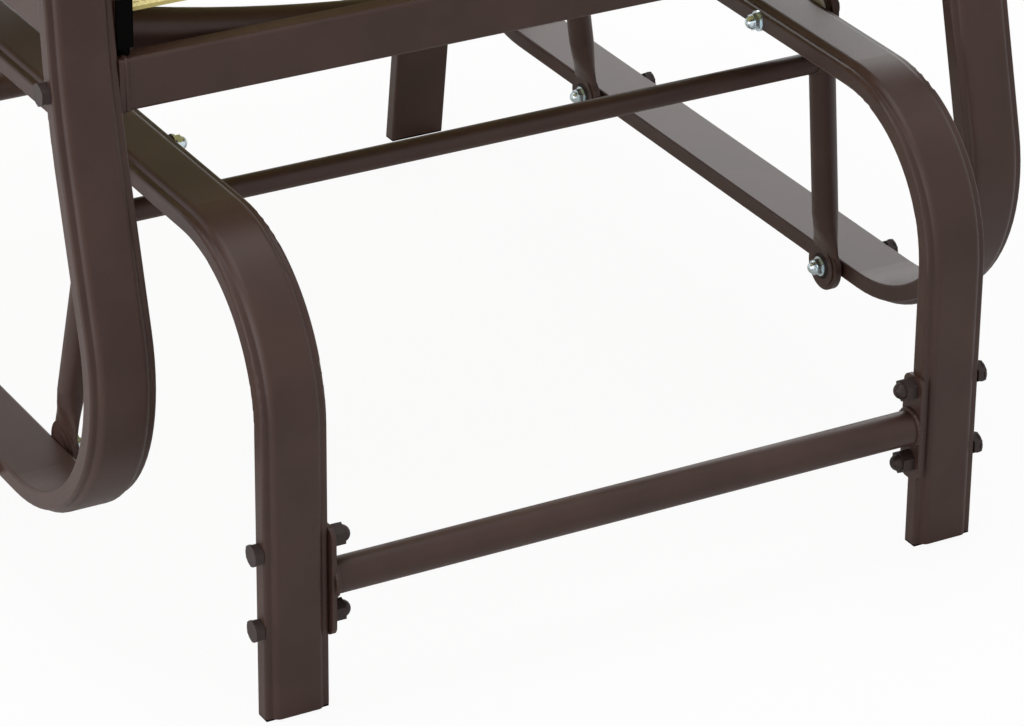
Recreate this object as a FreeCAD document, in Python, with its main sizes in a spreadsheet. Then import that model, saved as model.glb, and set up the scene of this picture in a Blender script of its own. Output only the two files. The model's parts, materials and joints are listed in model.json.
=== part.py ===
import FreeCAD, Part
import Sketcher
import math
import os

# Glider chair: a sling seat in two closed side loops, hung by four links from a low base.
# Millimetres. +X is to the right for a viewer in front of the chair, +Y to the rear, +Z up.
# The origin lies on the floor, under the middle of the chair's width and depth.

doc = FreeCAD.newDocument("glider_chair")
sheet = doc.addObject("Spreadsheet::Sheet", "dims")
sheet.Label = "driving dimensions"

dimensions = {
    # ribbed flat tube of the base sides and the seat loops
    "tube_width": 42.0,
    "tube_depth": 11.5,
    "tube_wall": 1.5,
    "tube_edge_radius": 2.0,
    "rib_land": 4.5,
    "rib_height": 3.0,
    "rib_slope": 55.0,
    "rib_root_radius": 0.8,
    "rib_crest_radius": 4.5,
    # base, with depths measured from the front face of the front legs
    "origin_setback": 391.8,
    "base_width": 494.0,
    "rail_height": 276.0,
    "base_bend_radius": 90.0,
    "rear_foot": 701.0,
    "rear_lean": 7.5,
    "sole_thickness": 1.5,
    "sole_inset": 0.6,
    "plug_depth": 14.0,
    "plug_clearance": 0.3,
    # round stretchers with bolted end plates
    "stretcher_height": 83.2,
    "rear_stretcher_height": 113.0,
    "stretcher_diameter": 22.0,
    "stretcher_wall": 1.5,
    "plate_height": 71.0,
    "plate_width": 20.0,
    "plate_thickness": 3.0,
    "plate_radius": 7.0,
    "plate_bolt_spacing": 50.0,
    "plate_bolt_lift": 2.0,
    # bolts, nuts and their caps
    "bolt_diameter": 6.0,
    "hole_clearance": 0.25,
    "thread_clearance": 0.05,
    "head_width": 10.0,
    "head_height": 4.0,
    "nut_height": 5.0,
    "weld_nut_height": 3.5,
    "bolt_end": 2.0,
    "nut_flange_diameter": 13.4,
    "nut_flange_height": 1.4,
    "acorn_hex_height": 3.8,
    "nut_dome_radius": 4.4,
    "cap_width": 12.4,
    "cap_height": 5.6,
    "cap_clearance": 0.2,
    "cap_face_diameter": 13.4,
    "cap_face_height": 1.4,
    "nut_cap_width": 13.2,
    "nut_cap_height": 8.0,
    "nut_cap_dome_radius": 5.4,
    # swing links and their pivots
    "front_top_pivot": 202.0,
    "front_low_pivot": 218.5,
    "rear_top_pivot": 541.5,
    "rear_low_pivot": 535.0,
    "bearing_washer_thickness": 2.0,
    "bearing_washer_diameter": 20.0,
    "side_play": 0.15,
    "link_diameter": 17.5,
    "link_wall": 1.5,
    "link_plate_thickness": 4.5,
    "link_end_radius": 16.5,
    "link_neck_width": 31.0,
    "link_flat_length": 8.0,
    "link_top_taper": 20.0,
    "link_low_taper": 32.0,
    "hub_diameter": 27.0,
    "hub_raise": 1.0,
    "bush_diameter": 18.0,
    "bush_clearance": 0.05,
    "pivot_clearance": 0.05,
    "open_pivot_clearance": 1.0,
    "boss_diameter": 18.0,
    "boss_thickness": 2.0,
    "crossbar_diameter": 14.2,
    "crossbar_wall": 1.2,
    "crossbar_drop": 39.0,
    "weld_gap": 0.1,
    # how far a cutting tool runs past the faces that it opens
    "cut_overrun": 2.0,
    # closed side loops that carry the seat and form the arms
    "loop_gap": 32.0,
    "loop_front": 50.0,
    "loop_length": 734.0,
    "loop_height": 94.0,
    "loop_lean": 14.85,
    "loop_bend_radius": 106.5,
    "knee_height": 362.0,
    "knee_lean": 5.7,
    "knee_radius": 450.0,
    "arm_height": 604.0,
    "arm_bend_radius": 70.0,
    # flat cross rails between the loops
    "cross_rail_height": 369.0,
    "cross_rail_bolt_lift": 2.25,
    "cross_rail_tall": 32.5,
    "cross_rail_deep": 14.0,
    "cross_rail_wall": 1.5,
    "cross_rail_radius": 2.5,
    "end_plate_thickness": 4.0,
    "end_plate_tall": 33.0,
    "end_plate_deep": 15.0,
    "end_plate_radius": 2.0,
    # side bearers inside the loops
    "bearer_height": 403.5,
    "bearer_tall": 25.0,
    "bearer_width": 36.0,
    "bearer_wall": 1.5,
    # sling tracks, bent from seat to back
    "track_width": 10.0,
    "track_tall": 30.0,
    "track_wall": 1.5,
    "track_radius": 3.0,
    "track_gap": 0.5,
    "track_lift": 5.75,
    "track_front": 115.0,
    "level_length": 115.0,
    "seat_depth": 485.0,
    "seat_drop": 40.0,
    "seat_bend_radius": 300.0,
    "back_lean": 18.8,
    "back_length": 540.0,
    "back_bend_radius": 110.0,
    "slot_width": 2.5,
    "slot_offset": 7.0,
    "end_cap_thickness": 2.0,
    "back_bolt_offset": 4.0,
    # rivets and spacers that hold the tracks on the front cross rail
    "rivet_diameter": 3.2,
    "rivet_head_diameter": 4.8,
    "rivet_head_height": 1.2,
    "rivet_tail_diameter": 4.2,
    "rivet_tail_length": 3.0,
    "rivet_setback": 1.5,
    "spacer_diameter": 8.0,
    # sling and the rods in its hems
    "sling_thickness": 1.2,
    "sling_inset": 2.0,
    "sling_grip": 3.2,
    "rod_diameter": 4.0,
    "rod_gap": 0.3,
    # bowed spreaders and the top bar between the tracks
    "spreader_diameter": 25.0,
    "spreader_wall": 1.2,
    "spreader_drop": 14.0,
    "front_spreader_setback": 28.0,
    "front_spreader_sag": 32.0,
    "rear_spreader_setback": 400.0,
    "rear_spreader_sag": 24.0,
    "back_spreader_rise": 270.0,
    "back_spreader_sag": 24.0,
    "top_bar_diameter": 16.0,
    "top_bar_drop": 9.5,
    "top_bar_inset": 22.0,
}

for row, (alias, value) in enumerate(dimensions.items(), start=1):
    sheet.set(f"A{row}", alias)
    sheet.set(f"B{row}", str(value))
    sheet.setAlias(f"B{row}", alias)
doc.recompute()

origin = FreeCAD.Vector(0, 0, 0)
along_x = FreeCAD.Rotation(FreeCAD.Vector(0, 1, 0), 90)
about_x = FreeCAD.Vector(1, 0, 0)
nodes = []


def number(expression):
    """The value of an expression over the sheet's cells."""
    return float(sheet.evalExpression(str(expression)))


def bind(item, **sizes):
    for name, expression in sizes.items():
        item.setExpression(name, str(expression))


def place(item, x="0", y="0", z="0", turn=None):
    """Binds an object's place, and its turn about X where one is given."""
    if turn is not None:
        item.Placement = FreeCAD.Placement(origin, FreeCAD.Rotation(about_x, number(turn)))
        item.setExpression("Placement.Rotation.Angle", turn)
    for axis, expression in zip("xyz", (x, y, z)):
        item.setExpression(f"Placement.Base.{axis}", str(expression))


def from_front(distance):
    """A depth measured from the front legs' front face, in the chair's frame."""
    return f"({distance} - dims.origin_setback)"


def node(item, label):
    item.Label = label
    nodes.append(item)
    return item


def mirrored(item):
    copy = doc.addObject("Part::Mirroring", item.Name + "_mirror")
    copy.Source = item
    copy.Base = origin
    copy.Normal = FreeCAD.Vector(1, 0, 0)
    return copy


def pair(item, label):
    """One node on each side, the left one mirrored from the right one."""
    node(item, label + "_right")
    node(mirrored(item), label + "_left")


def group(items, label):
    """One node that holds the items of both sides as separate solids."""
    item = doc.addObject("Part::Compound", label)
    item.Links = items + [mirrored(one) for one in items]
    return node(item, label)


def compound(items, name):
    item = doc.addObject("Part::Compound", name)
    item.Links = items
    return item


def fuse(items, name):
    item = doc.addObject("Part::MultiFuse", name)
    item.Shapes = items
    return item


def cut(base, tool, name):
    item = doc.addObject("Part::Cut", name)
    item.Base = base
    item.Tool = tool
    return item


def rod(name, radius, start, length, y="0", z="0"):
    """A round bar along +X."""
    item = doc.addObject("Part::Cylinder", name)
    item.Placement = FreeCAD.Placement(origin, along_x)
    bind(item, Radius=radius, Height=length)
    place(item, start, y, z)
    return item


def hexagon(name, width, start, length, y="0", z="0"):
    """A hexagonal bar along +X, given its width across flats."""
    item = doc.addObject("Part::Prism", name)
    item.Polygon = 6
    item.Placement = FreeCAD.Placement(origin, along_x)
    bind(item, Circumradius=f"({width}) / sqrt(3)", Height=length)
    place(item, start, y, z)
    return item


def block(name, size, corner, turn=None):
    """A box, given its size and its lowest corner."""
    item = doc.addObject("Part::Box", name)
    bind(item, Length=size[0], Width=size[1], Height=size[2])
    place(item, *corner, turn=turn)
    return item


def sketch_on(body, name, role, offset="0"):
    """A sketch on one of the body's own origin planes, moved along the plane's normal."""
    sketch = body.newObject("Sketcher::SketchObject", name)
    plane = next(feature for feature in body.Origin.OriginFeatures if feature.Role == role)
    sketch.AttachmentSupport = [(plane, "")]
    sketch.MapMode = "FlatFace"
    sketch.setExpression("AttachmentOffset.Base.z", str(offset))
    return sketch


def hold(sketch, constraint, expression):
    index = sketch.addConstraint(constraint)
    sketch.setExpression(f"Constraints[{index}]", str(expression))


def draw(sketch, corners, radii, closed=True):
    """Straight edges through the corners, joined by a tangent arc where a corner has a radius."""
    points = [FreeCAD.Vector(number(x), number(y), 0) for x, y in corners]
    count = len(points)
    last_edge = count if closed else count - 1
    marks = []
    for (x, y), point in zip(corners, points):
        mark = sketch.addGeometry(Part.Point(point), True)
        hold(sketch, Sketcher.Constraint("DistanceX", -1, 1, mark, 1, point.x), x)
        hold(sketch, Sketcher.Constraint("DistanceY", -1, 1, mark, 1, point.y), y)
        marks.append(mark)

    ways = []
    for index in range(last_edge):
        way = points[(index + 1) % count] - points[index]
        ways.append(way.normalize())
    trims = []
    for index in range(count):
        if radii[index] is None:
            trims.append(0.0)
            continue
        turn = ways[index - 1].getAngle(ways[index])
        trims.append(number(radii[index]) * math.tan(turn / 2))

    edges = []
    for index in range(last_edge):
        start = points[index] + ways[index] * trims[index]
        end = points[(index + 1) % count] - ways[index] * trims[(index + 1) % count]
        edges.append(sketch.addGeometry(Part.LineSegment(start, end), False))

    for index in range(count):
        before = edges[index - 1] if closed or index > 0 else None
        after = edges[index] if index < last_edge else None
        if radii[index] is None:
            if before is not None:
                sketch.addConstraint(Sketcher.Constraint("Coincident", before, 2, marks[index], 1))
            if after is not None:
                sketch.addConstraint(Sketcher.Constraint("Coincident", after, 1, marks[index], 1))
            continue
        radius = number(radii[index])
        come = points[index] - ways[index - 1] * trims[index]
        leave = points[index] + ways[index] * trims[index]
        left_turn = ways[index - 1].cross(ways[index]).z > 0
        side = FreeCAD.Vector(-ways[index - 1].y, ways[index - 1].x, 0)
        centre = come + side * (radius if left_turn else -radius)
        first, second = (come, leave) if left_turn else (leave, come)
        begin = math.atan2(first.y - centre.y, first.x - centre.x)
        finish = math.atan2(second.y - centre.y, second.x - centre.x)
        if finish < begin:
            finish += 2 * math.pi
        circle = Part.Circle(centre, FreeCAD.Vector(0, 0, 1), radius)
        arc = sketch.addGeometry(Part.ArcOfCircle(circle, begin, finish), False)
        come_end, leave_end = (1, 2) if left_turn else (2, 1)
        sketch.addConstraint(Sketcher.Constraint("Tangent", before, 2, arc, come_end))
        sketch.addConstraint(Sketcher.Constraint("Tangent", after, 1, arc, leave_end))
        sketch.addConstraint(Sketcher.Constraint("PointOnObject", marks[index], 1, before))
        sketch.addConstraint(Sketcher.Constraint("PointOnObject", marks[index], 1, after))
        hold(sketch, Sketcher.Constraint("Radius", arc, radius), radii[index])


def draw_circle(sketch, x, y, radius):
    centre = FreeCAD.Vector(number(x), number(y), 0)
    circle = Part.Circle(centre, FreeCAD.Vector(0, 0, 1), number(radius))
    item = sketch.addGeometry(circle, False)
    hold(sketch, Sketcher.Constraint("DistanceX", -1, 1, item, 3, centre.x), x)
    hold(sketch, Sketcher.Constraint("DistanceY", -1, 1, item, 3, centre.y), y)
    hold(sketch, Sketcher.Constraint("Radius", item, number(radius)), radius)


def draw_rectangle(sketch, left, right, bottom, top, radius=None):
    corners = [(left, bottom), (right, bottom), (right, top), (left, top)]
    draw(sketch, corners, [radius] * len(corners))


def new_body(name):
    return doc.addObject("PartDesign::Body", name)


def pad(body, name, sketch, length, midplane=False):
    feature = body.newObject("PartDesign::Pad", name)
    feature.Profile = sketch
    feature.Midplane = midplane
    bind(feature, Length=length)
    return feature


def sweep(body, name, profile, path):
    feature = body.newObject("PartDesign::AdditivePipe", name)
    feature.Profile = profile
    feature.Spine = path
    return feature


def mirror_feature(body, name, feature, role):
    copy = body.newObject("PartDesign::Mirrored", name)
    copy.Originals = [feature]
    plane = next(item for item in body.Origin.OriginFeatures if item.Role == role)
    copy.MirrorPlane = (plane, [""])
    body.Tip = copy
    return copy


# Places that several pieces share, as expressions over the sheet

base_outer_x = "(dims.base_width / 2)"
base_inner_x = "(dims.base_width / 2 - dims.tube_width)"
base_middle_x = "(dims.base_width / 2 - dims.tube_width / 2)"
loop_inner_x = "(dims.base_width / 2 + dims.loop_gap)"
loop_outer_x = "(dims.base_width / 2 + dims.loop_gap + dims.tube_width)"
loop_middle_x = "(dims.base_width / 2 + dims.loop_gap + dims.tube_width / 2)"
loop_middle_y = from_front("(dims.loop_front + dims.loop_length / 2)")
rail_top = "(dims.cross_rail_height + dims.cross_rail_tall / 2)"
track_outer_x = f"({loop_inner_x} - dims.track_gap)"
track_inner_x = f"({loop_inner_x} - dims.track_gap - dims.track_width)"
track_front_y = from_front("dims.track_front")
track_height = f"({rail_top} + dims.track_lift + dims.track_tall / 2)"
bolt_radius = "(dims.bolt_diameter / 2)"
hole_radius = "(dims.bolt_diameter / 2 + dims.hole_clearance)"
half_tube = "(dims.tube_depth / 2)"

rear_fall = "dims.rear_stretcher_height * tan(dims.rear_lean)"
rear_leg_y = from_front(f"(dims.rear_foot - {rear_fall} + {half_tube} / cos(dims.rear_lean))")
front_leg_y = from_front(half_tube)


def upright_inside(height):
    """Distance from a loop's middle to the inner face of its leaning uprights, at a height."""
    return f"(dims.loop_length / 2 - ({height} - dims.loop_height) * tan(dims.loop_lean))"


def knee_inside(height):
    """The same distance on the front upright above its knee, where it leans less."""
    at_knee = upright_inside("dims.knee_height")
    return f"({at_knee} - ({height} - dims.knee_height) * tan(dims.knee_lean))"


def loop_side_y(height, sign):
    """Depth of a leaning upright's middle at a height; sign -1 for the front one, 1 for the rear one."""
    return f"({loop_middle_y} + {sign} * ({upright_inside(height)} + {half_tube} / cos(dims.loop_lean)))"


def ribbed_section(sketch, middle, inside):
    """Section of the flat tube: its flat face at inside, and below it a face with one wide rib."""
    foot = "(dims.tube_width / 2 - dims.rib_land)"
    crest = f"({foot} - dims.rib_height / tan(dims.rib_slope))"

    def outline(wall, radii):
        # the inner outline keeps its wall along the rib's sloping shoulders too
        shift = f"{wall} * tan(dims.rib_slope / 2)"
        side = f"(dims.tube_width / 2 - {wall})"
        rib_foot, rib_crest = f"({foot} - {shift})", f"({crest} - {shift})"
        flat = f"{inside} - {wall}"
        shelf = f"{inside} - (dims.tube_depth - {wall})"
        top = f"{inside} - (dims.tube_depth + dims.rib_height - {wall})"
        corners = [
            (f"{middle} - {side}", flat),
            (f"{middle} + {side}", flat),
            (f"{middle} + {side}", shelf),
            (f"{middle} + {rib_foot}", shelf),
            (f"{middle} + {rib_crest}", top),
            (f"{middle} - {rib_crest}", top),
            (f"{middle} - {rib_foot}", shelf),
            (f"{middle} - {side}", shelf),
        ]
        draw(sketch, corners, radii or [None] * len(corners))

    edge, root, bend = "dims.tube_edge_radius", "dims.rib_root_radius", "dims.rib_crest_radius"
    outline("0", [edge, edge, edge, root, bend, bend, root, edge])
    outline("dims.tube_wall", None)


# Base sides: an arch from the front foot to the rear foot


def base_side():
    body = new_body("base_side")
    inside_front = from_front("dims.tube_depth")
    section = sketch_on(body, "base_side_section", "XY_Plane", "dims.sole_thickness")
    ribbed_section(section, base_middle_x, inside_front)
    overrun = "(dims.tube_width / 2)"
    rear_top = from_front("(dims.rear_foot - dims.rail_height * tan(dims.rear_lean))")
    rear_end = from_front(f"(dims.rear_foot + {overrun} * tan(dims.rear_lean))")
    path = sketch_on(body, "base_side_path", "YZ_Plane", base_middle_x)
    corners = [
        (inside_front, "dims.sole_thickness"),
        (inside_front, "dims.rail_height"),
        (rear_top, "dims.rail_height"),
        (rear_end, f"-{overrun}"),
    ]
    draw(path, corners, [None, "dims.base_bend_radius", "dims.base_bend_radius", None], closed=False)
    sweep(body, "base_side_tube", section, path)

    # the rear leg is sawn off level above its sole, and the bolts pass through the narrow faces
    saw_y = from_front("(dims.rear_foot - dims.tube_width)")
    saw_size = ("dims.tube_width * 2", "dims.tube_width * 2", f"{overrun} * 2 + dims.sole_thickness")
    saw_corner = (f"{base_middle_x} - dims.tube_width", saw_y, f"-{overrun} * 2")
    tools = [block("base_side_saw", saw_size, saw_corner)]
    holes = [(pivot["y"], pivot["z"]) for pivot in top_pivots] + leg_bolts()
    start, length = eye_span(base_inner_x, "dims.tube_width")
    for index, (y, z) in enumerate(holes):
        tools.append(rod(f"base_side_hole_{index}", hole_radius, start, length, y, z))
    return cut(body, compound(tools, "base_side_cuts"), "base_side_drilled")


def eye_span(start, thickness):
    """Start and length of a tool that opens a hole right through a thickness."""
    return f"{start} - dims.cut_overrun", f"{thickness} + 2 * dims.cut_overrun"


def leg_bolts():
    """Places of the stretcher bolts, two on each leg, along the leg."""
    legs = [
        (front_leg_y, "dims.stretcher_height", "0"),
        (rear_leg_y, "dims.rear_stretcher_height", "dims.rear_lean"),
    ]
    places = []
    for y, z, turn in legs:
        for sign in (-1, 1):
            reach = f"({sign} * dims.plate_bolt_spacing / 2 + dims.plate_bolt_lift)"
            places.append((f"{y} - {reach} * sin({turn})", f"{z} + {reach} * cos({turn})"))
    return places


def foot_plugs():
    items = []
    length = "dims.tube_width - 2 * dims.tube_wall - 2 * dims.plug_clearance"
    thickness = "(dims.tube_depth - 2 * dims.tube_wall - 2 * dims.plug_clearance)"
    sole_length = "dims.tube_width - 2 * dims.sole_inset"
    rear_y = f"(dims.rear_foot + {half_tube} / cos(dims.rear_lean))"
    for name, y, turn in (("front", half_tube, None), ("rear", rear_y, "dims.rear_lean")):
        sole_depth = "(dims.tube_depth - 2 * dims.sole_inset)"
        middle = from_front(y)
        sole_corner = (f"{base_middle_x} - ({sole_length}) / 2", f"{middle} - {sole_depth} / 2", "0")
        sole = block(f"{name}_sole", (sole_length, sole_depth, "dims.sole_thickness"), sole_corner)
        lean = turn or "0"
        # the stub starts inside the sole, on the middle line of the leg
        stub_y = f"{middle} - {thickness} / 2 * cos({lean}) - dims.sole_thickness * tan({lean})"
        stub_z = f"dims.sole_thickness - {thickness} / 2 * sin({lean})"
        stub_corner = (f"{base_middle_x} - ({length}) / 2", stub_y, stub_z)
        stub_size = (length, thickness, "dims.plug_depth")
        stub = block(f"{name}_stub", stub_size, stub_corner, turn)
        items.append(fuse([sole, stub], f"{name}_plug"))
    return group(items, "foot_plugs")


def stretcher(label, y, z, turn):
    """A round tube with a plate welded on each end, in line with the legs that it joins."""
    body = new_body(label)
    tube_end = f"({base_inner_x} - dims.plate_thickness)"
    outer = "(dims.stretcher_diameter / 2)"
    ring = sketch_on(body, label + "_ring", "YZ_Plane")
    draw_circle(ring, "0", "0", outer)
    draw_circle(ring, "0", "0", f"{outer} - dims.stretcher_wall")
    pad(body, label + "_tube", ring, f"2 * {tube_end}", midplane=True)
    plate = sketch_on(body, label + "_plate", "YZ_Plane", tube_end)
    half_wide, half_tall = "dims.plate_width / 2", "dims.plate_height / 2"
    draw_rectangle(
        plate, f"-{half_wide}", half_wide, f"-{half_tall}", half_tall, "dims.plate_radius"
    )
    for sign in (-1, 1):
        hole_z = f"{sign} * dims.plate_bolt_spacing / 2 + dims.plate_bolt_lift"
        draw_circle(plate, "0", hole_z, hole_radius)
    plate_pad = pad(body, label + "_plate_pad", plate, "dims.plate_thickness")
    doc.recompute()
    mirror_feature(body, label + "_plates", plate_pad, "YZ_Plane")
    place(body, y=y, z=z, turn=turn)
    return node(body, label)


# Fasteners, all along X: the head faces outwards, the nut inwards


def bolt(name, tip, head_face, y, z):
    shank = rod(f"{name}_shank", bolt_radius, tip, f"{head_face} - {tip} + dims.head_height / 2", y, z)
    head = hexagon(f"{name}_head", "dims.head_width", head_face, "dims.head_height", y, z)
    return fuse([shank, head], name)


def plain_nut(name, face, height, y, z):
    body = hexagon(f"{name}_hex", "dims.head_width", f"{face} - {height}", height, y, z)
    radius = f"{bolt_radius} + dims.thread_clearance"
    start = f"{face} - {height} - dims.cut_overrun"
    bore = rod(f"{name}_bore", radius, start, f"{height} + 2 * dims.cut_overrun", y, z)
    return cut(body, bore, name)


def acorn_nut(name, face, y, z):
    """A flanged nut with a closed dome; the bolt ends inside it."""
    flange_start = f"({face} - dims.nut_flange_height)"
    hex_start = f"({flange_start} - dims.acorn_hex_height)"
    flange = rod(
        f"{name}_flange", "dims.nut_flange_diameter / 2", flange_start, "dims.nut_flange_height", y, z
    )
    body = hexagon(f"{name}_hex", "dims.head_width", hex_start, "dims.acorn_hex_height", y, z)
    dome = doc.addObject("Part::Sphere", f"{name}_dome")
    bind(dome, Radius="dims.nut_dome_radius")
    place(dome, hex_start, y, z)
    radius = f"{bolt_radius} + dims.thread_clearance"
    depth = "dims.acorn_hex_height + dims.nut_flange_height + dims.cut_overrun"
    bore = rod(f"{name}_bore", radius, hex_start, depth, y, z)
    return cut(fuse([flange, body, dome], f"{name}_blank"), bore, name)


def acorn_tip(face):
    return f"({face} - dims.nut_flange_height - dims.acorn_hex_height + dims.thread_clearance)"


def head_cap(name, face, y, z):
    """A moulded cover over a bolt head."""
    body = hexagon(f"{name}_hex", "dims.cap_width", face, "dims.cap_height", y, z)
    disc_start = f"{face} + dims.cap_height - dims.cap_face_height"
    disc = rod(f"{name}_disc", "dims.cap_face_diameter / 2", disc_start, "dims.cap_face_height", y, z)
    width = "dims.head_width + 2 * dims.cap_clearance"
    start = f"{face} - dims.cap_clearance"
    hollow = hexagon(f"{name}_hollow", width, start, "dims.head_height + 2 * dims.cap_clearance", y, z)
    return cut(fuse([body, disc], f"{name}_blank"), hollow, name)


def nut_cap(name, face, y, z):
    """A domed cover over a nut and the end of its bolt."""
    start = f"({face} - dims.nut_cap_height)"
    body = hexagon(f"{name}_hex", "dims.nut_cap_width", start, "dims.nut_cap_height", y, z)
    dome = doc.addObject("Part::Sphere", f"{name}_dome")
    bind(dome, Radius="dims.nut_cap_dome_radius")
    place(dome, start, y, z)
    radius = "dims.head_width / sqrt(3) + dims.cap_clearance"
    depth = "(dims.nut_height + dims.bolt_end + dims.cap_clearance)"
    hollow = rod(f"{name}_hollow", radius, f"{face} - {depth}", f"{depth} + dims.cut_overrun", y, z)
    return cut(fuse([body, dome], f"{name}_blank"), hollow, name)


def stretcher_fasteners():
    plate_face = f"({base_inner_x} - dims.plate_thickness)"
    tip = f"({plate_face} - dims.nut_height - dims.bolt_end)"
    bolts, nuts, caps, nut_caps = [], [], [], []
    for index, (y, z) in enumerate(leg_bolts()):
        bolts.append(bolt(f"stretcher_bolt_{index}", tip, base_outer_x, y, z))
        nuts.append(plain_nut(f"stretcher_nut_{index}", plate_face, "dims.nut_height", y, z))
        caps.append(head_cap(f"stretcher_head_cap_{index}", base_outer_x, y, z))
        nut_caps.append(nut_cap(f"stretcher_nut_cap_{index}", plate_face, y, z))
    group(bolts, "stretcher_bolts")
    group(nuts, "stretcher_nuts")
    group(caps, "stretcher_head_caps")
    group(nut_caps, "stretcher_nut_caps")


# Swing links: the upper pivots are on the base rails, the lower ones on the seat loops

top_pivot_z = f"(dims.rail_height + {half_tube})"
low_pivot_z = f"(dims.loop_height - {half_tube})"
top_pivots = [
    {"name": "front", "y": from_front("dims.front_top_pivot"), "z": top_pivot_z},
    {"name": "rear", "y": from_front("dims.rear_top_pivot"), "z": top_pivot_z},
]
low_pivots = [
    {"name": "front", "y": from_front("dims.front_low_pivot"), "z": low_pivot_z},
    {"name": "rear", "y": from_front("dims.rear_low_pivot"), "z": low_pivot_z},
]
hub_thickness = "(dims.link_plate_thickness + 2 * dims.hub_raise)"
top_hub_start = f"({base_outer_x} + dims.bearing_washer_thickness + dims.side_play)"
top_hub_middle = f"({top_hub_start} + {hub_thickness} / 2)"
top_head_face = f"({top_hub_start} + {hub_thickness} + dims.side_play)"
low_hub_end = f"({loop_inner_x} - dims.boss_thickness - dims.side_play)"
low_hub_middle = f"({low_hub_end} - {hub_thickness} / 2)"
low_nut_face = f"({low_hub_end} - {hub_thickness} - dims.side_play)"


taper_steps = 3


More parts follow.
